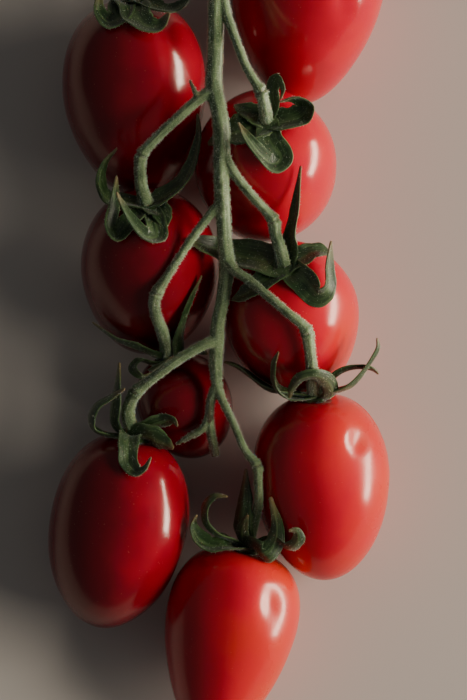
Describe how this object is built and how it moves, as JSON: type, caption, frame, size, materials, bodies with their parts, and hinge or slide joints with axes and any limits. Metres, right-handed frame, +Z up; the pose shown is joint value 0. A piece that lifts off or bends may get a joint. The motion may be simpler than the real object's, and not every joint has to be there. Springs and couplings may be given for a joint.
{
  "type": "truss of tomatoes",
  "caption": "Truss of ripe red mini plum tomatoes on its green stem, lying on its back, each fruit on its own jointed stalk with a star of curled sepals.",
  "frame": {"origin": "on the surface that the fruits rest on, under the middle of the truss's box", "axes": "+Y along the main stem towards its cut top, +X to the right as the truss is seen from above, +Z up"},
  "size_m": [0.086, 0.2284, 0.0476],
  "materials": {
    "skin": "gloss",
    "stem": "matte",
    "sepal": "matte"
  },
  "bodies": {
    "root": {"truss_stem": "stem", "calyx_1": "sepal", "calyx_2": "sepal", "calyx_3": "sepal", "calyx_4": "sepal", "calyx_5": "sepal", "calyx_6": "sepal", "calyx_7": "sepal", "calyx_8": "sepal", "calyx_9": "sepal", "tomato_1": "skin", "tomato_2": "skin", "tomato_3": "skin", "tomato_4": "skin", "tomato_5": "skin", "tomato_6": "skin", "tomato_7": "skin", "tomato_8": "skin", "tomato_9": "skin"}
  },
  "joints": []
}
